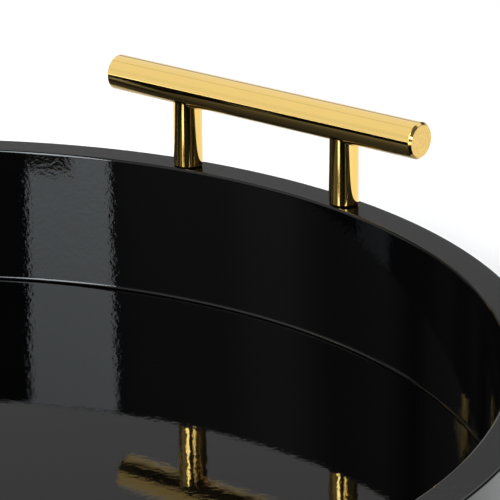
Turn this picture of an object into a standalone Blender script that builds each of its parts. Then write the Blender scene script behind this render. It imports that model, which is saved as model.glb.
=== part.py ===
"""Round lacquered serving tray with two polished bar handles, as it comes apart on a bench.

A thin round board carries a straight-sided hoop, glued on as the tray's wall. On each of two opposite
sides a long machine screw comes up through the board and the wall into each of two round posts, and a
threaded stud in the top of each post holds the round handle bar. Four felt pads keep the board off the
table. The origin is on the table under the tray's centre, +Z is up, and the handles lie at +Y (back) and
-Y (front) with their bars along X.
"""

import math

import bmesh
import bpy
from mathutils import Matrix, Vector

# Driving dimensions, in metres
FIT_GAP = 0.0003  # clear gap between pieces that touch on the real tray

TRAY_RADIUS = 0.197
WALL_THICKNESS = 0.011
WALL_DEPTH = 0.0453  # from the rim's top down to the floor
RIM_OUTER_ROUND = 0.0007
RIM_INNER_ROUND = 0.0010
HOOP_FOOT_CHAMFER = 0.0004

BOARD_THICKNESS = 0.006
BOARD_EDGE_ROUND = 0.0008

PAD_HEIGHT = 0.003
PAD_RADIUS = 0.010
PAD_CIRCLE_RADIUS = 0.160
PAD_EDGE_ROUND = 0.0005

BAR_RADIUS = 0.0059
BAR_LENGTH = 0.124
BAR_CHAMFER = 0.0008
BAR_AXIS_ABOVE_RIM = 0.0262

POST_RADIUS = 0.0048
POST_SPACING = 0.064
POST_FOOT_CHAMFER = 0.0002

STUD_RADIUS = 0.0020
STUD_LENGTH = 0.012
STUD_IN_BAR = 0.0055

SCREW_RADIUS = 0.0020  # M4
SCREW_LENGTH = 0.055  # under the head
SCREW_HEAD_RADIUS = 0.0039
SCREW_HEAD_HEIGHT = 0.0026
SCREW_TIP_CHAMFER = 0.0006
CROSS_LENGTH = 0.0044
CROSS_WIDTH = 0.0009
CROSS_DEPTH = 0.0016
COUNTERBORE_RADIUS = 0.0043
COUNTERBORE_DEPTH = 0.0033
HOLE_CLEARANCE = 0.0003

# Heights and places that follow from them
BOARD_BOTTOM = PAD_HEIGHT
BOARD_TOP = BOARD_BOTTOM + BOARD_THICKNESS
RIM_TOP = BOARD_TOP + WALL_DEPTH
BAR_AXIS_HEIGHT = RIM_TOP + BAR_AXIS_ABOVE_RIM
WALL_INNER_RADIUS = TRAY_RADIUS - WALL_THICKNESS
WALL_MIDDLE_RADIUS = TRAY_RADIUS - WALL_THICKNESS / 2
HANDLE_OFFSET = math.sqrt(WALL_MIDDLE_RADIUS**2 - (POST_SPACING / 2) ** 2)
SCREW_SEAT = BOARD_BOTTOM + COUNTERBORE_DEPTH
SCREW_TIP = SCREW_SEAT + SCREW_LENGTH
POST_FOOT = RIM_TOP + FIT_GAP
STUD_BOTTOM = BAR_AXIS_HEIGHT - BAR_RADIUS + STUD_IN_BAR - STUD_LENGTH
HOLE_RADIUS = SCREW_RADIUS + HOLE_CLEARANCE

# How finely round shapes are cut into flats
HOOP_STEPS = 160
BAR_STEPS = 48
POST_STEPS = 40
PAD_STEPS = 32
THREAD_STEPS = 20
PASS = 0.002  # how far a cutter runs past the face it starts from

SIDES = {"back": 0.0, "front": math.pi}
POST_PLACES = {"left": -POST_SPACING / 2, "right": POST_SPACING / 2}


def clear_scene():
    for obj in list(bpy.data.objects):
        bpy.data.objects.remove(obj, do_unlink=True)


def new_collection(name):
    collection = bpy.data.collections.new(name)
    bpy.context.scene.collection.children.link(collection)
    return collection


def finish_material(name, colour, roughness, metallic):
    material = bpy.data.materials.new(name)
    material.use_nodes = True
    surface = material.node_tree.nodes["Principled BSDF"]
    surface.inputs["Base Color"].default_value = (*colour, 1.0)
    surface.inputs["Roughness"].default_value = roughness
    surface.inputs["Metallic"].default_value = metallic
    return material


def smooth_round(mesh, sharp_angle=math.radians(35)):
    mesh.shade_smooth()
    mesh.set_sharp_from_angle(angle=sharp_angle)


def new_piece(name, mesh, collection, material):
    piece = bpy.data.objects.new(name, mesh)
    collection.objects.link(piece)
    if material:
        mesh.materials.append(material)
    return piece


def cylinder_mesh(name, radius, low, high, steps):
    """A capped cylinder about Z between two heights."""
    mesh = bpy.data.meshes.new(name)
    form = bmesh.new()
    middle = Matrix.Translation((0, 0, (low + high) / 2))
    bmesh.ops.create_cone(
        form,
        cap_ends=True,
        cap_tris=False,
        segments=steps,
        radius1=radius,
        radius2=radius,
        depth=high - low,
        matrix=middle,
    )
    form.to_mesh(mesh)
    form.free()
    smooth_round(mesh)
    return mesh


def profile_mesh(name, points, closed):
    """A turned shape's outline, as (radius, height) points joined by edges in the XZ plane."""
    mesh = bpy.data.meshes.new(name)
    form = bmesh.new()
    verts = [form.verts.new((radius, 0, height)) for radius, height in points]
    for first, second in zip(verts, verts[1:]):
        form.edges.new((first, second))
    if closed:
        form.edges.new((verts[-1], verts[0]))
    form.to_mesh(mesh)
    form.free()
    return mesh


def turn(piece, steps):
    screw = piece.modifiers.new("Turn", "SCREW")
    screw.axis = "Z"
    screw.angle = 2 * math.pi
    screw.steps = steps
    screw.render_steps = steps
    screw.use_merge_vertices = True
    screw.merge_threshold = 0.00005
    screw.use_smooth_shade = True
    return screw


def round_edges(piece, width, segments, edge_angle=math.radians(60)):
    bevel = piece.modifiers.new("Round edges", "BEVEL")
    bevel.limit_method = "ANGLE"
    bevel.angle_limit = edge_angle
    bevel.width = width
    bevel.segments = segments
    return bevel


def quarter_round(centre_radius, centre_height, size, start, steps):
    """Points of a quarter circle that starts at the angle start and turns clockwise."""
    points = []
    for step in range(steps + 1):
        angle = start - math.pi / 2 * step / steps
        radius = centre_radius + size * math.cos(angle)
        points.append((radius, centre_height + size * math.sin(angle)))
    return points


def new_cutter(name, mesh, helpers):
    cutter = new_piece(name, mesh, helpers, None)
    cutter.hide_render = True
    cutter.display_type = "WIRE"
    return cutter


def cut(piece, cutter):
    boolean = piece.modifiers.new(f"Cut {cutter.name}", "BOOLEAN")
    boolean.operation = "DIFFERENCE"
    boolean.object = cutter


def post_positions():
    """(side, place, world position on the table) of the four posts."""
    found = []
    for side, angle in SIDES.items():
        turned = Matrix.Rotation(angle, 4, "Z")
        for place, along in POST_PLACES.items():
            found.append((side, place, turned @ Vector((along, HANDLE_OFFSET, 0))))
    return found


def make_hoop(parts, helpers, lacquer):
    low = BOARD_TOP + FIT_GAP
    outer = TRAY_RADIUS - RIM_OUTER_ROUND
    inner = WALL_INNER_RADIUS + RIM_INNER_ROUND
    outline = quarter_round(outer, RIM_TOP - RIM_OUTER_ROUND, RIM_OUTER_ROUND, math.pi / 2, 3)
    outline.append((TRAY_RADIUS, low + HOOP_FOOT_CHAMFER))
    outline.append((TRAY_RADIUS - HOOP_FOOT_CHAMFER, low))
    outline.append((WALL_INNER_RADIUS, low))
    outline += quarter_round(inner, RIM_TOP - RIM_INNER_ROUND, RIM_INNER_ROUND, math.pi, 3)
    hoop = new_piece("rim_hoop", profile_mesh("rim_hoop", outline, True), parts, lacquer)
    turn(hoop, HOOP_STEPS)
    for side, place, where in post_positions():
        hole = cylinder_mesh("hoop_hole", HOLE_RADIUS, low - PASS, RIM_TOP + PASS, THREAD_STEPS)
        cutter = new_cutter(f"hoop_hole_{side}_{place}", hole, helpers)
        cutter.location = where
        cut(hoop, cutter)


def make_board(parts, helpers, lacquer):
    disc = cylinder_mesh("base_board", TRAY_RADIUS, BOARD_BOTTOM, BOARD_TOP, HOOP_STEPS)
    board = new_piece("base_board", disc, parts, lacquer)
    round_edges(board, BOARD_EDGE_ROUND, 2)
    step_outline = [
        (0, BOARD_TOP + PASS),
        (HOLE_RADIUS, BOARD_TOP + PASS),
        (HOLE_RADIUS, SCREW_SEAT),
        (COUNTERBORE_RADIUS, SCREW_SEAT),
        (COUNTERBORE_RADIUS, BOARD_BOTTOM - PASS),
        (0, BOARD_BOTTOM - PASS),
    ]
    for side, place, where in post_positions():
        stepped = profile_mesh("board_hole", step_outline, False)
        cutter = new_cutter(f"board_hole_{side}_{place}", stepped, helpers)
        turn(cutter, THREAD_STEPS)
        cutter.location = where
        cut(board, cutter)


def make_screw(name, where, parts, helpers, steel):
    seat = SCREW_SEAT - FIT_GAP
    head_low = seat - SCREW_HEAD_HEIGHT
    crown = SCREW_HEAD_HEIGHT * 0.35
    outline = [
        (0, SCREW_TIP),
        (SCREW_RADIUS - SCREW_TIP_CHAMFER, SCREW_TIP),
        (SCREW_RADIUS, SCREW_TIP - SCREW_TIP_CHAMFER),
        (SCREW_RADIUS, seat),
        (SCREW_HEAD_RADIUS, seat),
        (SCREW_HEAD_RADIUS, head_low + crown),
        (SCREW_HEAD_RADIUS * 0.88, head_low + crown * 0.3),
        (SCREW_HEAD_RADIUS * 0.66, head_low),
        (0, head_low),
    ]
    screw = new_piece(name, profile_mesh(name, outline, False), parts, steel)
    screw.location = where
    turn(screw, THREAD_STEPS)
    for arm, angle in (("a", 0.0), ("b", math.pi / 2)):
        mesh = bpy.data.meshes.new("cross_arm")
        form = bmesh.new()
        bmesh.ops.create_cube(form, size=1.0)
        depth = CROSS_DEPTH + PASS
        bmesh.ops.scale(form, vec=(CROSS_LENGTH, CROSS_WIDTH, depth), verts=form.verts)
        middle = head_low + CROSS_DEPTH - depth / 2
        bmesh.ops.translate(form, vec=(0, 0, middle), verts=form.verts)
        form.to_mesh(mesh)
        form.free()
        cutter = new_cutter(f"{name}_cross_{arm}", mesh, helpers)
        cutter.location = where
        cutter.rotation_euler.z = angle
        cut(screw, cutter)


def make_handle(side, angle, parts, helpers, gold, steel):
    """One bar on two posts, made at +Y and carried to its side by an empty at the tray's centre."""
    carrier = bpy.data.objects.new(f"{side}_handle_place", None)
    parts.objects.link(carrier)
    carrier.rotation_euler.z = angle

    bar_name = f"{side}_handle_bar"
    bar_mesh = cylinder_mesh(bar_name, BAR_RADIUS, -BAR_LENGTH / 2, BAR_LENGTH / 2, BAR_STEPS)
    bar = new_piece(bar_name, bar_mesh, parts, gold)
    bar.rotation_euler.y = math.pi / 2
    bar.location = (0, HANDLE_OFFSET, BAR_AXIS_HEIGHT)
    bar.parent = carrier
    round_edges(bar, BAR_CHAMFER, 1)

    saddle_mesh = cylinder_mesh("saddle", BAR_RADIUS + FIT_GAP, -BAR_LENGTH, BAR_LENGTH, BAR_STEPS)
    saddle = new_cutter(f"{side}_saddle", saddle_mesh, helpers)
    saddle.rotation_euler.y = math.pi / 2
    saddle.location = bar.location
    saddle.parent = carrier

    stud_top = STUD_BOTTOM + STUD_LENGTH
    for place, along in POST_PLACES.items():
        foot = (along, HANDLE_OFFSET, 0)
        post_name = f"{side}_post_{place}"
        post_mesh = cylinder_mesh(post_name, POST_RADIUS, POST_FOOT, BAR_AXIS_HEIGHT, POST_STEPS)
        post = new_piece(post_name, post_mesh, parts, gold)
        post.location = foot
        post.parent = carrier
        round_edges(post, POST_FOOT_CHAMFER, 1)
        cut(post, saddle)

        for hole, low, high in (
            ("screw_bore", RIM_TOP - PASS, SCREW_TIP + FIT_GAP),
            ("stud_bore", STUD_BOTTOM - FIT_GAP, BAR_AXIS_HEIGHT),
        ):
            mesh = cylinder_mesh(hole, HOLE_RADIUS, low, high, THREAD_STEPS)
            cutter = new_cutter(f"{post_name}_{hole}", mesh, helpers)
            cutter.location = foot
            cutter.parent = carrier
            cut(post, cutter)

        bar_low = BAR_AXIS_HEIGHT - BAR_RADIUS - PASS
        mesh = cylinder_mesh("bar_bore", HOLE_RADIUS, bar_low, stud_top + FIT_GAP, THREAD_STEPS)
        cutter = new_cutter(f"{side}_bar_bore_{place}", mesh, helpers)
        cutter.location = foot
        cutter.parent = carrier
        cut(bar, cutter)

        stud_name = f"{side}_stud_{place}"
        stud_mesh = cylinder_mesh(stud_name, STUD_RADIUS, STUD_BOTTOM, stud_top, THREAD_STEPS)
        stud = new_piece(stud_name, stud_mesh, parts, steel)
        stud.location = foot
        stud.parent = carrier
        round_edges(stud, SCREW_TIP_CHAMFER / 2, 1)


def make_pads(parts, felt):
    for number in range(4):
        angle = math.radians(45 + 90 * number)
        name = f"felt_pad_{number + 1}"
        mesh = cylinder_mesh(name, PAD_RADIUS, 0, PAD_HEIGHT - FIT_GAP, PAD_STEPS)
        pad = new_piece(name, mesh, parts, felt)
        pad.location = (PAD_CIRCLE_RADIUS * math.cos(angle), PAD_CIRCLE_RADIUS * math.sin(angle), 0)
        round_edges(pad, PAD_EDGE_ROUND, 1)


def main():
    clear_scene()
    parts = new_collection("lacquered_tray")
    helpers = new_collection("cutters")
    wall_lacquer = finish_material("hoop_lacquer", (0.006, 0.006, 0.007), 0.06, 0.0)
    board_lacquer = finish_material("board_lacquer", (0.005, 0.005, 0.006), 0.05, 0.0)
    gold = finish_material("polished_gold", (0.83, 0.60, 0.24), 0.10, 1.0)
    steel = finish_material("zinc_steel", (0.62, 0.62, 0.60), 0.35, 1.0)
    felt = finish_material("black_felt", (0.02, 0.02, 0.02), 0.95, 0.0)

    make_board(parts, helpers, board_lacquer)
    make_hoop(parts, helpers, wall_lacquer)
    for side, place, where in post_positions():
        make_screw(f"{side}_screw_{place}", where, parts, helpers, steel)
    for side, angle in SIDES.items():
        make_handle(side, angle, parts, helpers, gold, steel)
    make_pads(parts, felt)


main()
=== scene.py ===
# %% [markdown]
# # A round lacquered tray with polished bar handles
#
# The real tray is a fibreboard hoop glued to a thin round board, sprayed with many coats of black
# lacquer and rubbed to a mirror, with a gold-plated bar handle screwed to the rim on two sides.
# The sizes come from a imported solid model, which this script loads as its frame. Every visible
# surface is then made again at full quality in the same place. Nothing here moves or resizes a part.

# %% Load the frame
import math
import random

import bmesh
import bpy
from mathutils import Matrix, Vector
from mathutils import noise as ripple


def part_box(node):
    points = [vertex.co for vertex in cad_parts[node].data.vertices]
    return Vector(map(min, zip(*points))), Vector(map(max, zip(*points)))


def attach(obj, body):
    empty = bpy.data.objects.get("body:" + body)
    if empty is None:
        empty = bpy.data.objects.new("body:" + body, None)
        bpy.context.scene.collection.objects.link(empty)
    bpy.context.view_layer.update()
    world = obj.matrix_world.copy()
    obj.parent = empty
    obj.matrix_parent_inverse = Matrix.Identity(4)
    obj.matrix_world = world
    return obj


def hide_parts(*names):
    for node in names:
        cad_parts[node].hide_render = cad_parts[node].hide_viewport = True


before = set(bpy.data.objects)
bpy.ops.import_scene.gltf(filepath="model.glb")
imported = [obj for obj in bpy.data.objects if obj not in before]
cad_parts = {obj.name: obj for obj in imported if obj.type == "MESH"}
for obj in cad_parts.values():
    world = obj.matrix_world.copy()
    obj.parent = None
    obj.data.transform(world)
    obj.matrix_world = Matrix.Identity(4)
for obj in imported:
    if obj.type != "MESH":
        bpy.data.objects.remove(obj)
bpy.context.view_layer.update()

print("parts in the frame:", ", ".join(sorted(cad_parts)))

# %% [markdown]
# ## Sizes, read from the frame
#
# A piece fits without any fitting when its sizes come from the solid it stands for. The posts stand
# on the middle of the wall's top, so their distance from the tray's centre also gives the wall's
# thickness. Only small finishing sizes, such as how round a sprayed edge is, are set here.

# %% Read the sizes
wall_low, wall_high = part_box("rim_hoop")
board_low, board_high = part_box("base_board")
bar_low, bar_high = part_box("back_handle_bar")
post_low, post_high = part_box("back_post_right")
screw_low, screw_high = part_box("back_screw_right")
stud_low, stud_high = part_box("back_stud_right")

RIM_TOP = wall_high.z
FLOOR = board_high.z
TRAY_RADIUS = wall_high.x
POST_RADIUS = (post_high.x - post_low.x) / 2
POST_X = (post_high.x + post_low.x) / 2
HANDLE_Y = (post_high.y + post_low.y) / 2
WALL = 2 * (TRAY_RADIUS - math.hypot(POST_X, HANDLE_Y))
WALL_INSIDE = TRAY_RADIUS - WALL
BAR_RADIUS = (bar_high.z - bar_low.z) / 2
BAR_LENGTH = bar_high.x - bar_low.x
BAR_HEIGHT = (bar_high.z + bar_low.z) / 2
GAP = wall_low.z - FLOOR
ROOT = "root"
SIDES = {"back": 1, "front": -1}
HANDS = {"left": -1, "right": 1}

print(f"tray {2000 * TRAY_RADIUS:.0f} mm across, wall {1000 * WALL:.1f} mm thick")
print(f"well {1000 * (RIM_TOP - FLOOR):.1f} mm deep, bar {2000 * BAR_RADIUS:.1f} mm thick")

# %% [markdown]
# ## Camera
#
# The view is a close one from the right-hand front, looking down across the tray at the far handle.
# A long lens keeps the rim's curve calm. The camera's place is measured from the middle of the rim's
# top, and it comes first because it decides how much each surface has to show.

# %% Set the camera
CAMERA_FROM_RIM = Vector((0.6209, -0.5767, 0.3281))
CAMERA_TURN = (70.41, 0.48, 39.16)
LENS = 233.2

camera_data = bpy.data.cameras.new("close_view")
camera_data.lens = LENS
camera_data.sensor_width = 36
camera_data.clip_start = 0.05
camera = bpy.data.objects.new("close_view", camera_data)
bpy.context.scene.collection.objects.link(camera)
camera.location = Vector((0, 0, RIM_TOP)) + CAMERA_FROM_RIM
camera.rotation_euler = [math.radians(angle) for angle in CAMERA_TURN]
bpy.context.scene.camera = camera
bpy.context.scene.view_settings.view_transform = "Standard"
print(f"camera {camera.location.length:.2f} m from the origin, lens {LENS} mm")

# %% [markdown]
# ## Writing shaders as sums
#
# A material is a small sum: so much of this pattern, less that mask. Wiring such sums by hand hides
# them, so `Value` wraps a socket and lets Python's own operators add the Math nodes. `Recipe` holds
# one node tree, and its single method `add` makes any other node. Colours go through Mix nodes,
# because a Math node would turn them grey.


# %% Socket values and recipes
class Value:
    """A socket that carries a number. Sums and products of values add Math nodes."""

    def __init__(self, recipe, socket):
        self.recipe = recipe
        self.socket = socket

    def math(self, operation, first, second):
        return self.recipe.add("ShaderNodeMath", {"operation": operation}, {0: first, 1: second})

    def __add__(self, other):
        return self.math("ADD", self, other)

    def __radd__(self, other):
        return self.math("ADD", other, self)

    def __sub__(self, other):
        return self.math("SUBTRACT", self, other)

    def __rsub__(self, other):
        return self.math("SUBTRACT", other, self)

    def __mul__(self, other):
        return self.math("MULTIPLY", self, other)

    def __rmul__(self, other):
        return self.math("MULTIPLY", other, self)

    def __pow__(self, other):
        return self.math("POWER", self, other)

    def __abs__(self):
        return self.recipe.add("ShaderNodeMath", {"operation": "ABSOLUTE"}, {0: self})


class Recipe:
    """The node tree of one finish, or of the world's light."""

    def __init__(self, tree):
        self.tree = tree

    def add(self, kind, settings=None, inputs=None, out=0):
        """A node of any kind, with its settings made first, as the value of one of its outputs."""
        node = self.tree.nodes.new(kind)
        for key, setting in (settings or {}).items():
            setattr(node, key, setting)
        for key, given in (inputs or {}).items():
            self.feed(node.inputs[key], given)
        return Value(self, node.outputs[out])

    def feed(self, socket, given):
        if isinstance(given, Value):
            self.tree.links.new(given.socket, socket)
        else:
            socket.default_value = given


print("socket values: sums, products, powers and absolute values")

# %% [markdown]
# ## Patterns shared by the finishes
#
# Every pattern is solid: it is read from a point's place in metres, so it needs no unwrapping and
# keeps its real scale on every piece. A noise of scale 900 has grains of about a millimetre.


# %% Shared patterns
def axes(recipe):
    """The place of a point, in metres, and its three parts."""
    place = recipe.add("ShaderNodeTexCoord", out="Object")
    split = recipe.add("ShaderNodeSeparateXYZ", inputs={0: place})
    parts = [Value(recipe, socket) for socket in split.socket.node.outputs]
    return place, parts


def noise(recipe, place, scale, detail=2.0, roughness=0.5):
    given = {"Vector": place, "Scale": scale, "Detail": detail, "Roughness": roughness}
    return recipe.add("ShaderNodeTexNoise", inputs=given, out="Fac")


def stretched(recipe, place, factors):
    given = {0: place, 1: factors}
    return recipe.add("ShaderNodeVectorMath", {"operation": "MULTIPLY"}, given)


def soft_step(recipe, value, low, high):
    """0 below low, 1 above high, and a smooth climb between them."""
    settings = {"interpolation_type": "SMOOTHSTEP"}
    given = {"Value": value, "From Min": low, "From Max": high}
    return recipe.add("ShaderNodeMapRange", settings, given)


def blend_colours(recipe, factor, first, second):
    first, second = [tint if isinstance(tint, Value) else (*tint, 1) for tint in (first, second)]
    given = {0: factor, 6: first, 7: second}
    return recipe.add("ShaderNodeMix", {"data_type": "RGBA"}, given, out=2)


def relief(recipe, height, depth):
    """A bump whose height of 1 stands for depth in metres."""
    given = {"Height": height, "Distance": depth, "Strength": 1.0}
    return recipe.add("ShaderNodeBump", inputs=given)


def new_finish(name, **constants):
    """A Principled material. The constants are plain numbers on the shader's own sockets."""
    material = bpy.data.materials.new(name)
    material.use_nodes = True
    surface = material.node_tree.nodes["Principled BSDF"]
    for socket, given in constants.items():
        surface.inputs[socket.replace("_", " ")].default_value = given
    return material, Recipe(material.node_tree), surface.inputs


print("patterns: noise, stretched noise, soft steps, colour blends and relief")


# %% [markdown]
# ## Black lacquer
#
# Sprayed lacquer is never quite flat. It dries with a fine ripple, called orange peel, that hardly
# bends a reflection but frays its edges. A displaced mesh could carry it, at millions of faces; a bump
# of a few thousandths of a millimetre does the same for light. The ripple has a fine grain and a
# slower swell. On the upright wall the wet coat sags a little, so its grain is the deeper one. The
# rim's top is rubbed a little less bright than the inside, and the underside only has a thin satin
# coat, so the roughness follows the height of the point.

# %% Mix the lacquer
PEEL_GRAIN = 0.0014
PEEL_UNIT = 0.00001
DEEP_BLACK = (0.0004, 0.0004, 0.0005)
WORN_BLACK = (0.0008, 0.0008, 0.0009)


def lacquer(name, grain_depth, satin_below=None, rubbed_above=None):
    """Black lacquer, satin below one height and rubbed a little duller above another."""
    material, recipe, shader = new_finish(name, IOR=1.40)
    place, (x, y, z) = axes(recipe)
    grain = noise(recipe, place, 1 / PEEL_GRAIN, 3.0)
    swell = noise(recipe, place, 280.0, 1.0)
    cloud = noise(recipe, place, 22.0, 3.0)
    shine = 0.008 + cloud * 0.014
    peel = grain * grain_depth + swell * 1.2
    if rubbed_above is not None:
        top = soft_step(recipe, z, rubbed_above - 0.00006, rubbed_above - 0.00001)
        shine = shine + top * 0.05
    if satin_below is not None:
        under = 1 - soft_step(recipe, z, satin_below, satin_below + 0.0006)
        roller = noise(recipe, place, 650.0, 3.0)
        shine = shine + under * (0.34 + roller * 0.10)
        peel = peel + under * roller * 14.0
    recipe.feed(shader["Roughness"], shine)
    recipe.feed(shader["Normal"], relief(recipe, peel, PEEL_UNIT))
    recipe.feed(shader["Base Color"], blend_colours(recipe, cloud, DEEP_BLACK, WORN_BLACK))
    return material


WALL_LACQUER = lacquer("hoop_lacquer_gloss", grain_depth=1.7, rubbed_above=RIM_TOP)
BOARD_LACQUER = lacquer("board_lacquer_gloss", grain_depth=0.8, satin_below=board_low.z)
print("lacquers:", WALL_LACQUER.name, BOARD_LACQUER.name)

# %% [markdown]
# ## Polished gold plate
#
# The bars and posts are polished, plated and given a thin clear coat, which makes their brightest
# streaks a little whiter than the gold. Polish still shows as fine lines along the way the wheel ran:
# along a bar, up a post. They are drawn as a noise squeezed across the line and stretched along it,
# which moves the roughness by a few hundredths. The posts are given a darker copy of the bar's gold,
# which is painted shade. A bar's faced end is mottled, and its colour is darker still as painted
# shade, with faint rings that are worked out from the distance to the bar's own axis.

# %% Mix the gold
BAR_COLOUR = (0.93, 0.645, 0.185)
# The posts' gold is the bar's gold made darker, as painted shade.
POST_SHADED_COLOUR = (0.78, 0.515, 0.12)
# The end face's gold is darker still, as painted shade.
END_SHADED_COLOUR = (0.70, 0.45, 0.10)
LINES_ACROSS = 2600.0
LINES_ALONG = 60.0
RING_TURNS = 28000.0


def gold(name, along, deep, ringed_ends=False):
    """Plated gold. Along holds the scale of the polishing lines on each axis."""
    material, recipe, shader = new_finish(name, Metallic=1.0, Coat_Weight=0.8, Coat_Roughness=0.02)
    place, (x, y, z) = axes(recipe)
    lines = noise(recipe, stretched(recipe, place, along), 1.0, 3.0, 0.6)
    pits = noise(recipe, place, 2600.0, 2.0)
    cloud = noise(recipe, place, 90.0, 2.0)
    worn = [channel * 0.93 for channel in deep]
    tint = blend_colours(recipe, cloud, deep, worn)
    height = lines * 0.35 + pits * 0.12
    if ringed_ends:
        reach = ((abs(y) - HANDLE_Y) ** 2 + (z - BAR_HEIGHT) ** 2) ** 0.5
        rings = recipe.add("ShaderNodeMath", {"operation": "SINE"}, {0: reach * RING_TURNS})
        faced = soft_step(recipe, abs(x), BAR_LENGTH / 2 - 0.0002, BAR_LENGTH / 2 - 0.0001)
        height = height + faced * rings * 0.05
        mottle = soft_step(recipe, noise(recipe, place, 1100.0, 2.0), 0.38, 0.62)
        # The faced end's darker colour is painted shade. The mottle over it is the metal's own.
        mottled_shaded_end = blend_colours(recipe, mottle, END_SHADED_COLOUR, [channel * 0.88 for channel in END_SHADED_COLOUR])
        tint = blend_colours(recipe, faced, tint, mottled_shaded_end)
    recipe.feed(shader["Base Color"], tint)
    recipe.feed(shader["Roughness"], 0.035 + lines * 0.05 + cloud * 0.02)
    recipe.feed(shader["Normal"], relief(recipe, height, 0.0000012))
    return material


ALONG_X = (LINES_ALONG, LINES_ACROSS, LINES_ACROSS)
ALONG_Z = (LINES_ACROSS, LINES_ACROSS, LINES_ALONG)
BAR_GOLD = gold("bar_gold_plate", ALONG_X, BAR_COLOUR, ringed_ends=True)
# The posts take the darker gold, which is painted shade.
POST_SHADED_GOLD = gold("post_gold_plate_shaded", ALONG_Z, POST_SHADED_COLOUR)
print("golds:", BAR_GOLD.name, POST_SHADED_GOLD.name)

# %% [markdown]
# ## Zinc-plated steel and felt
#
# The screws and studs are bright zinc over steel, slightly mottled by the plating bath. The pads are
# pressed felt: short fibres in every direction, a dull black that the light catches at its edges,
# which is what the shader's sheen is for.


# %% Mix the small finishes
def zinc():
    material, recipe, shader = new_finish("zinc_plate", Metallic=1.0)
    place, _ = axes(recipe)
    bloom = noise(recipe, place, 700.0, 4.0)
    spangle = noise(recipe, place, 2400.0, 2.0)
    tint = blend_colours(recipe, bloom, (0.66, 0.67, 0.66), (0.52, 0.53, 0.55))
    recipe.feed(shader["Base Color"], tint)
    recipe.feed(shader["Roughness"], 0.22 + bloom * 0.2)
    recipe.feed(shader["Normal"], relief(recipe, spangle, 0.000006))
    return material


def felt():
    material, recipe, shader = new_finish("pressed_felt", Sheen_Weight=0.6, Sheen_Roughness=0.5)
    place, _ = axes(recipe)
    fibres = noise(recipe, stretched(recipe, place, (1.0, 2.6, 4.0)), 1500.0, 5.0, 0.7)
    clumps = noise(recipe, place, 420.0, 3.0)
    shade = fibres * 0.7 + clumps * 0.3
    tint = blend_colours(recipe, shade, (0.010, 0.010, 0.011), (0.05, 0.05, 0.052))
    recipe.feed(shader["Base Color"], tint)
    recipe.feed(shader["Roughness"], 0.85 + fibres * 0.12)
    recipe.feed(shader["Normal"], relief(recipe, fibres + clumps * 0.5, 0.00022))
    return material


ZINC = zinc()
FELT = felt()
print("small finishes:", ZINC.name, FELT.name)

# %% [markdown]
# ## Turning a profile
#
# The hoop, the board, the bars, the posts, the pads and the screw heads are all turned shapes: an
# outline swept round an axis. The Screw modifier would do it; here the rings are laid down in a loop,
# because a plain mesh can be given its own smoothing. A flat next to a rounded edge needs a support
# point close to the edge, or smooth shading would bend the whole flat, and on a mirror finish that
# shows at once.

# %% Profile helpers
SUPPORT = 0.00006


def arc(centre, across, up, start, end, steps):
    """Points of a round or oval arc about centre = (radius, height), with angles in degrees."""
    points = []
    for step in range(steps + 1):
        angle = math.radians(start + (end - start) * step / steps)
        points.append((centre[0] + across * math.cos(angle), centre[1] + up * math.sin(angle)))
    return points


def with_supports(points, reach=SUPPORT):
    """Adds a point close to both ends of each long straight, so that smoothing stays at its ends."""
    found = []
    for first, second in zip(points, points[1:] + points[:1]):
        found.append(first)
        span = math.hypot(second[0] - first[0], second[1] - first[1])
        if span > 8 * reach:
            for share in (reach / span, 1 - reach / span):
                found.append(tuple(a + (b - a) * share for a, b in zip(first, second)))
    return found


def turned_mesh(name, outline, steps, middle=(0, 0), closed=True):
    """Sweeps an outline of (radius, height) points round a vertical axis through middle.
    The outline runs down the outside, so that the faces look out. Where closed is False, its first
    and last points lie on the axis and each becomes one vertex."""
    form = bmesh.new()
    rings = []
    for radius, height in outline:
        if radius < 1e-7:
            rings.append([form.verts.new((middle[0], middle[1], height))] * steps)
            continue
        ring = []
        for step in range(steps):
            angle = 2 * math.pi * step / steps
            across = (middle[0] + radius * math.cos(angle), middle[1] + radius * math.sin(angle))
            ring.append(form.verts.new((*across, height)))
        rings.append(ring)
    pairs = list(zip(rings, rings[1:] + rings[:1])) if closed else list(zip(rings, rings[1:]))
    for upper, lower in pairs:
        for step in range(steps):
            after = (step + 1) % steps
            corners = [upper[step], lower[step], lower[after], upper[after]]
            form.faces.new(list(dict.fromkeys(corners)))
    mesh = bpy.data.meshes.new(name)
    form.to_mesh(mesh)
    form.free()
    return mesh


print(f"support points stand {1000 * SUPPORT:.2f} mm from an edge")

# %% [markdown]
# A finished mesh becomes a piece by riding on the frame in place of its solid. Holes are drilled with
# a Boolean cut that is read off at once, so that no modifier stays behind on the piece.


# %% Place and drill
def place_piece(name, mesh, material, replaced, sharp=30):
    """Puts a finished mesh in the scene, riding on the frame in place of its solid."""
    mesh.materials.clear()
    mesh.materials.append(material)
    mesh.shade_smooth()
    mesh.set_sharp_from_angle(angle=math.radians(sharp))
    piece = bpy.data.objects.new(name, mesh)
    bpy.context.scene.collection.objects.link(piece)
    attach(piece, ROOT)
    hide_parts(replaced)
    print(f"{name}: {len(mesh.polygons)} faces")
    return piece


def drilled(mesh, cutters):
    """The mesh less the cutters, as a new mesh. The helper objects are removed again."""
    body = bpy.data.objects.new("being_drilled", mesh)
    bpy.context.scene.collection.objects.link(body)
    tools = []
    for number, cutter in enumerate(cutters):
        tool = bpy.data.objects.new(f"drill_{number}", cutter)
        bpy.context.scene.collection.objects.link(tool)
        tools.append(tool)
        cut = body.modifiers.new("Drill", "BOOLEAN")
        cut.object = tool
    bpy.context.view_layer.update()
    ready = body.evaluated_get(bpy.context.evaluated_depsgraph_get())
    result = bpy.data.meshes.new_from_object(ready)
    for helper in [body, *tools]:
        bpy.data.objects.remove(helper)
    return result


print("pieces ride on the body", ROOT)


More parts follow.
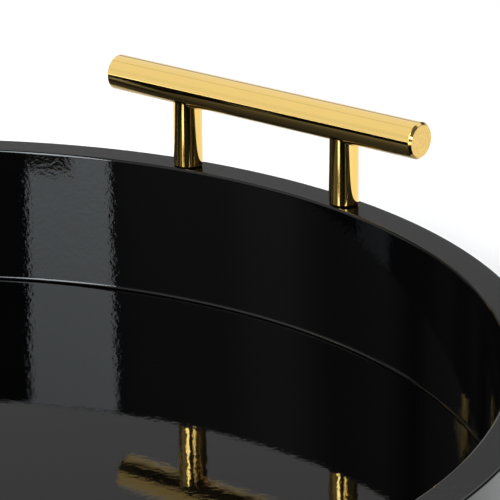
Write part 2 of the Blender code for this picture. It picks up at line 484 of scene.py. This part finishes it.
# %% [markdown]
# ## The wall
#
# The hoop's top is flat, and its two upper edges are rounded by sanding and spraying. Where it meets
# the floor the lacquer pools into a small concave fillet, about a millimetre high. That fillet is what
# draws the thin bright line round the floor: somewhere on its curve it always faces the light.
# A bevel modifier could round the edges, but it can't pool lacquer, so the outline holds both.

# %% Turn the wall
OUTER_ROUND = 0.0007
INNER_ROUND = 0.0009
POOL_HEIGHT = 0.0009
POOL_REACH = 0.0007
HOOP_STEPS = 384
HOLE_STEPS = 24
HOLE_RADIUS = 0.0023
HOOP_BREAK = 0.0002
DRILL_PAST = 0.01


def wall_outline():
    floor = FLOOR + GAP
    top = arc((TRAY_RADIUS - OUTER_ROUND, RIM_TOP - OUTER_ROUND), OUTER_ROUND, OUTER_ROUND, 90, 0, 8)
    foot = [(TRAY_RADIUS, floor + HOOP_BREAK), (TRAY_RADIUS - HOOP_BREAK, floor)]
    pool = arc((WALL_INSIDE - POOL_REACH, floor + POOL_HEIGHT), POOL_REACH, POOL_HEIGHT, -90, 0, 14)
    rim = arc((WALL_INSIDE + INNER_ROUND, RIM_TOP - INNER_ROUND), INNER_ROUND, INNER_ROUND, 180, 90, 10)
    return with_supports(top + foot + pool + rim)


def post_places():
    """(side, hand, x, y) of the four posts."""
    return [
        (side, hand, way * POST_X * turn, HANDLE_Y * turn)
        for side, turn in SIDES.items()
        for hand, way in HANDS.items()
    ]


wall_holes = []
for side, hand, x, y in post_places():
    above, below = RIM_TOP + DRILL_PAST, FLOOR - DRILL_PAST
    shaft = [(0, above), (HOLE_RADIUS, above), (HOLE_RADIUS, below), (0, below)]
    wall_holes.append(turned_mesh("shaft", shaft, HOLE_STEPS, (x, y), closed=False))
wall_mesh = drilled(turned_mesh("tray_wall", wall_outline(), HOOP_STEPS), wall_holes)
place_piece("tray_wall", wall_mesh, WALL_LACQUER, "rim_hoop")

# %% [markdown]
# ## The board
#
# The floor is the top of a 6 mm board as wide as the hoop. Four stepped holes take the handle screws:
# a narrow one for the shank and a wide, shallow one that sinks the head out of the table's way.

# %% Turn the board
BOARD_ROUND = 0.0008
SCREW_SEAT = board_low.z + 0.0033
SINK_RADIUS = 0.0043


def board_outline():
    edge = TRAY_RADIUS - BOARD_ROUND
    top = arc((edge, FLOOR - BOARD_ROUND), BOARD_ROUND, BOARD_ROUND, 90, 0, 6)
    under = arc((edge, board_low.z + BOARD_ROUND), BOARD_ROUND, BOARD_ROUND, 0, -90, 6)
    rim = [(edge - SUPPORT, FLOOR), *top, *under, (edge - SUPPORT, board_low.z)]
    return [(0, FLOOR), (0.06, FLOOR), *rim, (0.06, board_low.z), (0, board_low.z)]


sinks = []
for side, hand, x, y in post_places():
    stepped = [
        (0, FLOOR + 0.002),
        (HOLE_RADIUS, FLOOR + 0.002),
        (HOLE_RADIUS, SCREW_SEAT),
        (SINK_RADIUS, SCREW_SEAT),
        (SINK_RADIUS, board_low.z - 0.002),
        (0, board_low.z - 0.002),
    ]
    sinks.append(turned_mesh("sink", stepped, HOLE_STEPS, (x, y), closed=False))
board_mesh = drilled(turned_mesh("tray_board", board_outline(), HOOP_STEPS, closed=False), sinks)
place_piece("tray_board", board_mesh, BOARD_LACQUER, "base_board")

# %% [markdown]
# ## Handle bars and posts
#
# A bar is a turned rod with a small chamfer at each end, so it is swept upright and laid down
# afterwards. A post is cut to the bar's round underside. Instead of a Boolean cut, each point of the
# post's upper edge is simply raised to the height of the bar above it, which keeps the mesh even.

# %% Turn the bars
CHAMFER = 0.0008
BREAK = 0.00012
BAR_STEPS = 96


def bar_mesh(name, turn):
    half = BAR_LENGTH / 2
    shoulder = BAR_RADIUS - CHAMFER
    down = [(0, half), (shoulder - BREAK - SUPPORT, half), (shoulder - BREAK, half)]
    down += [(shoulder + BREAK * 0.3, half - BREAK * 0.3)]
    down += [(BAR_RADIUS - BREAK * 0.3, half - CHAMFER + BREAK * 0.3)]
    down += [(BAR_RADIUS, half - CHAMFER - BREAK), (BAR_RADIUS, half - CHAMFER - BREAK - SUPPORT)]
    outline = down + [(radius, -height) for radius, height in reversed(down)]
    mesh = turned_mesh(name, outline, BAR_STEPS, closed=False)
    lay_down = Matrix.Rotation(math.pi / 2, 4, "Y")
    mesh.transform(Matrix.Translation((0, HANDLE_Y * turn, BAR_HEIGHT)) @ lay_down)
    return mesh


for side, turn in SIDES.items():
    bar_name = f"{side}_grip_bar"
    place_piece(bar_name, bar_mesh(bar_name, turn), BAR_GOLD, f"{side}_handle_bar")


# %% Turn the posts
POST_STEPS = 72
FOOT_EDGE = 0.0002


def saddle_height(across):
    """The bar's underside, less the fitting gap, at a distance across from the bar's axis."""
    return BAR_HEIGHT - math.sqrt((BAR_RADIUS + GAP) ** 2 - across**2)


def post_mesh(name, x, y):
    foot = post_low.z
    shell = [
        (0, BAR_HEIGHT),
        (POST_RADIUS * 0.45, BAR_HEIGHT),
        (POST_RADIUS, BAR_HEIGHT),
        (POST_RADIUS, foot + 0.0004),
        (POST_RADIUS, foot + 0.0003),
        (POST_RADIUS - FOOT_EDGE, foot),
        (0, foot),
    ]
    mesh = turned_mesh(name, shell, POST_STEPS, (x, y), closed=False)
    for vertex in mesh.vertices:
        if vertex.co.z > BAR_HEIGHT - 1e-6:
            vertex.co.z = saddle_height(vertex.co.y - y)
    return mesh


for side, hand, x, y in post_places():
    post_name = f"{side}_{hand}_pillar"
    post = post_mesh(post_name, x, y)
    place_piece(post_name, post, POST_SHADED_GOLD, f"{side}_post_{hand}")

# %% [markdown]
# ## Screws and studs
#
# These hide inside the tray, apart from the screw heads in their sinks underneath. A thread is one
# ridge wound round a rod, so each point's radius depends on its height plus its share of a turn times
# the pitch. The rod is a grid of such points, closed by a point at each end.

# %% Cut the threads
PITCH = 0.0007
THREAD_DEPTH = 0.00038
THREAD_STEPS = 16
ROWS_PER_PITCH = 4
RUN_OUT = 0.0005


def threaded_rod(form, x, y, low, high, radius):
    """Adds a rod with a thread that fades out over a short length at both ends."""
    rows = int((high - low) / PITCH * ROWS_PER_PITCH)
    rings = []
    for row in range(rows + 1):
        height = low + (high - low) * row / rows
        ring = []
        for step in range(THREAD_STEPS):
            angle = 2 * math.pi * step / THREAD_STEPS
            turns = (height - low) / PITCH - step / THREAD_STEPS
            ridge = abs(2 * (turns % 1) - 1)
            full = min(1, (height - low) / RUN_OUT, (high - height) / RUN_OUT)
            reach = radius - THREAD_DEPTH + THREAD_DEPTH * ridge * full
            place = (x + reach * math.cos(angle), y + reach * math.sin(angle), height)
            ring.append(form.verts.new(place))
        rings.append(ring)
    for lower, upper in zip(rings, rings[1:]):
        for step in range(THREAD_STEPS):
            after = (step + 1) % THREAD_STEPS
            form.faces.new((lower[step], lower[after], upper[after], upper[step]))
    form.faces.new(rings[-1])
    form.faces.new(list(reversed(rings[0])))


def threaded_mesh(name, x, y, low, high, radius):
    form = bmesh.new()
    threaded_rod(form, x, y, low, high, radius)
    mesh = bpy.data.meshes.new(name)
    form.to_mesh(mesh)
    form.free()
    return mesh


ROD_RADIUS = (stud_high.x - stud_low.x) / 2
for side, hand, x, y in post_places():
    stud_name = f"{side}_{hand}_threaded_stud"
    stud = threaded_mesh(stud_name, x, y, stud_low.z, stud_high.z, ROD_RADIUS)
    place_piece(stud_name, stud, ZINC, f"{side}_stud_{hand}", sharp=20)

# %% [markdown]
# A screw's pan head is turned, and its cross recess is cut by two crossed wedges. The wedges taper
# like the driver's tip, so that the recess looks deep in the middle. The threaded shank is then
# added to the same mesh, starting a little inside the head.

# %% Wedges for the cross recess
CROSS_HALF_LENGTH = 0.0022
CROSS_HALF_WIDTH = 0.00045
CROSS_DEPTH = 0.0016
CROSS_TAPER = 0.5
WEDGE_START = 0.0002


def wedge_mesh(x, y, low, half_x, half_y):
    """A block from just under low up into the head, narrower at its upper end."""
    form = bmesh.new()
    bmesh.ops.create_cube(form, size=2)
    for vertex in form.verts:
        deep = vertex.co.z > 0
        share = CROSS_TAPER if deep else 1.0
        height = low + CROSS_DEPTH if deep else low - WEDGE_START
        across = x + vertex.co.x * half_x * share
        along = y + vertex.co.y * half_y * share
        vertex.co = Vector((across, along, height))
    mesh = bpy.data.meshes.new("wedge")
    form.to_mesh(mesh)
    form.free()
    return mesh


print(f"cross recess {2000 * CROSS_HALF_LENGTH:.1f} mm across, {1000 * CROSS_DEPTH:.1f} mm deep")

# %% Make the screws
HEAD_RADIUS = (screw_high.x - screw_low.x) / 2
HEAD_CORNER = 0.0010
HEAD_EDGE = 0.0001
HEAD_STEPS = 40
SHANK_START = 0.0002


def screw_mesh(name, x, y):
    low, seat = screw_low.z, SCREW_SEAT
    corner = arc((HEAD_RADIUS - HEAD_CORNER, low + HEAD_CORNER), HEAD_CORNER, HEAD_CORNER, 0, -80, 6)
    edge = [(HEAD_RADIUS - HEAD_EDGE, seat), (HEAD_RADIUS, seat - HEAD_EDGE)]
    outline = [(0, seat), *edge, *corner, (0, low)]
    head = turned_mesh(name, outline, HEAD_STEPS, (x, y), closed=False)
    cross = [
        wedge_mesh(x, y, low, CROSS_HALF_LENGTH, CROSS_HALF_WIDTH),
        wedge_mesh(x, y, low, CROSS_HALF_WIDTH, CROSS_HALF_LENGTH),
    ]
    cut = drilled(head, cross)
    form = bmesh.new()
    form.from_mesh(cut)
    threaded_rod(form, x, y, seat - SHANK_START, screw_high.z, ROD_RADIUS)
    mesh = bpy.data.meshes.new(name)
    form.to_mesh(mesh)
    form.free()
    return mesh


for side, hand, x, y in post_places():
    screw_name = f"{side}_{hand}_pan_screw"
    screw = screw_mesh(screw_name, x, y)
    place_piece(screw_name, screw, ZINC, f"{side}_screw_{hand}", sharp=35)

# %% [markdown]
# ## Felt pads
#
# A punched felt disc has a crushed, slightly wavy edge with loose fibres. The disc is a grid of rings
# whose points are pushed inwards by a fixed noise, and a few hundred fibres are laid on its side as
# thin three-sided spikes. A hair system would make more of them, but it wouldn't travel with the mesh.

# %% The felt's disc
PAD_STEPS = 96
PAD_EDGE = 0.0005
PAD_RIPPLE = 1600


def disc_mesh(name, radius, height, seed):
    """A disc standing on z = 0, crushed a little by a noise that differs from pad to pad."""
    side = arc((radius - PAD_EDGE, height / 2), PAD_EDGE, height / 2, 88, -88, 12)
    flat = [radius * share for share in (0.2, 0.4, 0.6, 0.75, 0.86, 0.93)]
    outline = [(0, height), *[(reach, height) for reach in flat], *side]
    outline += [*[(reach, 0) for reach in reversed(flat)], (0, 0)]
    mesh = turned_mesh(name, outline, PAD_STEPS, closed=False)
    for vertex in mesh.vertices:
        spot = vertex.co * PAD_RIPPLE + Vector((seed * 7.0, 0, 0))
        dent = 0.5 + 0.5 * ripple.noise(spot)
        wave = 0.5 + 0.5 * ripple.noise(spot * 0.25)
        vertex.co.x *= 1 - 0.008 * dent - 0.010 * wave
        vertex.co.y *= 1 - 0.008 * dent - 0.010 * wave
        squeeze = 0.00006 * dent
        vertex.co.z += squeeze if vertex.co.z < height / 2 else -squeeze
    return mesh


print(f"felt discs of {PAD_STEPS} steps, rippled every {1000 / PAD_RIPPLE:.1f} mm")

# %% The felt's loose fibres
FIBRES = 260
FIBRE_LENGTH = 0.0011
FIBRE_WIDTH = 0.00003
FIBRE_LIFT = 0.00028
FIBRE_SIDES = 3


def add_fibre(form, dice, radius, height):
    """One fibre, rooted in the disc's side and lying along it with its tip a little proud."""
    angle = dice.uniform(0, 2 * math.pi)
    rise = dice.uniform(0.12, 0.88) * height
    out = Vector((math.cos(angle), math.sin(angle), 0))
    along = Vector((-out.y, out.x, dice.uniform(-0.9, 0.9))).normalized()
    root = out * (radius * 0.975) + Vector((0, 0, rise))
    tip = root + along * FIBRE_LENGTH * dice.uniform(0.4, 1.0) + out * FIBRE_LIFT
    tip.z = min(max(tip.z, 0.0001), height - 0.0001)
    ring = []
    for turn in range(FIBRE_SIDES):
        lean = turn * 2 * math.pi / FIBRE_SIDES
        offset = out * math.cos(lean) + Vector((0, 0, math.sin(lean)))
        ring.append(form.verts.new(root + offset * FIBRE_WIDTH))
    point = form.verts.new(tip)
    for turn in range(FIBRE_SIDES):
        form.faces.new((ring[turn], ring[(turn + 1) % FIBRE_SIDES], point))
    form.faces.new(list(reversed(ring)))


print(FIBRES, "fibres to a pad")

# %% Punch the pads
PAD_INSET = 0.0002


def felt_mesh(name, low, high, seed):
    middle = (low + high) / 2
    radius = (high.x - low.x) / 2 - PAD_INSET
    height = high.z - low.z
    mesh = disc_mesh(name, radius, height, seed)
    form = bmesh.new()
    form.from_mesh(mesh)
    dice = random.Random(seed)
    for _ in range(FIBRES):
        add_fibre(form, dice, radius, height)
    form.transform(Matrix.Translation((middle.x, middle.y, low.z)))
    form.to_mesh(mesh)
    form.free()
    return mesh


for number in range(1, 5):
    pad_low, pad_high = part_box(f"felt_pad_{number}")
    pad_name = f"felt_foot_{number}"
    pad = felt_mesh(pad_name, pad_low, pad_high, number)
    place_piece(pad_name, pad, FELT, f"felt_pad_{number}", sharp=60)

# %% [markdown]
# ## Table, lights and backdrop
#
# Gloss black and polished gold hardly show a colour of their own: what is seen is the room mirrored
# in them. So the studio is laid out for its reflections. A tall strip box beyond the near rim gives
# the long pale patch on the wall, and a small side box draws the bright streaks on the posts. The fill
# box only lights the table. It stays out of the mirrors, since its glare would wash out the black.
# Spot lamps would be simpler, but in a mirror they are only dots.

# %% Set the table
TABLE_SIZE = 8
TABLE_COLOUR = (0.93, 0.93, 0.93, 1)

bpy.ops.mesh.primitive_plane_add(size=TABLE_SIZE)
table = bpy.context.object
table.name = "table"
table_material, _, table_shader = new_finish("pale_table", Roughness=0.6)
table_shader["Base Color"].default_value = TABLE_COLOUR
table.data.materials.append(table_material)
print(f"{table.name}: a stage prop {TABLE_SIZE} m across")


# %% Hang the lights
def softbox(name, place, aim, size, radiance, colour=(1, 1, 1)):
    """A rectangular light of even brightness, turned to face a point. Radiance is its brightness."""
    width, height = size
    data = bpy.data.lights.new(name, "AREA")
    data.shape = "RECTANGLE"
    data.size = width
    data.size_y = height
    data.energy = radiance * math.pi * width * height
    data.color = colour
    lamp = bpy.data.objects.new(name, data)
    bpy.context.scene.collection.objects.link(lamp)
    lamp.location = place
    lamp.rotation_euler = (Vector(aim) - Vector(place)).to_track_quat("-Z", "Y").to_euler()
    lamp.visible_camera = False
    print(name, "hangs at", place)
    return lamp


COOL = (0.88, 0.95, 1.0)
WARM = (1.0, 0.985, 0.965)
softbox("strip_light", (-0.034, -1.187, 0.888), (-0.07, 0.17, 0.04), (0.43, 1.66), 14.0, COOL)
softbox("side_light", (1.292, -0.761, 0.575), (0.0, 0.0, 0.03), (0.42, 0.36), 8.0)
fill = softbox("fill_light", (0.75, -1.75, 1.15), (0.0, 0.45, 0.0), (1.1, 1.1), 22.0, WARM)
fill.visible_glossy = False

# %% [markdown]
# The walls of the studio are the world, painted by direction. It starts as an even white tent, and
# each panel then takes some light away: a grey card low behind the tray, a black flag on the left,
# another card low at the left front, a faint one at the near side, a dim panel on the right and a
# dark opening overhead. A seam between two sheets of the tent runs overhead too, and draws the
# hair-thin line along the grip bar. Real cards would do the same, but a painted world needs no
# objects that could show in the picture.

# %% Find the directions
world = bpy.data.worlds.new("studio")
bpy.context.scene.world = world
world.use_nodes = True
sky = Recipe(world.node_tree)
direction = sky.add("ShaderNodeTexCoord", out="Generated")
split = sky.add("ShaderNodeSeparateXYZ", inputs={0: direction})
right, back, up = [Value(sky, socket) for socket in split.socket.node.outputs]
left = 0 - right
near = 0 - back


def band(value, rise, fall):
    """1 between the rise and the fall, 0 outside them, with soft sides."""
    return soft_step(sky, value, *rise) * (1 - soft_step(sky, value, *fall))


print("directions: right is +X, back is +Y, up is +Z")

# %% Paint the backdrop
TENT_LEVEL = 0.95
SEAM_LEAN = 0.043

behind_card = band(up, (0.26, 0.295), (0.412, 0.45)) * soft_step(sky, back, 0.45, 0.60)
left_flag = soft_step(sky, left, 0.72, 0.84) * soft_step(sky, back, -0.30, -0.12)
left_flag = left_flag * (1 - soft_step(sky, up, 0.55, 0.65))
low_left_card = soft_step(sky, left, 0.64, 0.80) * soft_step(sky, near, 0.02, 0.12)
low_left_card = low_left_card * band(up, (0.24, 0.30), (0.42, 0.50))
near_card = soft_step(sky, near, 0.3, 0.6) * band(up, (0.15, 0.22), (0.4, 0.5))
near_card = near_card * (1 - soft_step(sky, left, 0.46, 0.60) * 0.8)
high_back = soft_step(sky, back, 0.3, 0.5) * soft_step(sky, up, 0.5, 0.6)
right_panel = soft_step(sky, right, -0.25, 0.10) * (1 - high_back)
opening = soft_step(sky, up, 0.86, 0.92)
seam = 1 - soft_step(sky, abs(back + up * SEAM_LEAN), 0.012, 0.028)
seam = seam * soft_step(sky, up, 0.42, 0.50)

level = TENT_LEVEL - behind_card * 0.59 - left_flag * 0.78 - near_card * 0.32 - seam * 0.4
level = level * (1 - right_panel * 0.86) * (1 - opening * 0.85) * (1 - low_left_card * 0.68)
background = world.node_tree.nodes["Background"]
sky.feed(background.inputs["Strength"], level)
background.inputs["Color"].default_value = (1, 1, 1, 1)
print("backdrop has", len(world.node_tree.nodes), "nodes")
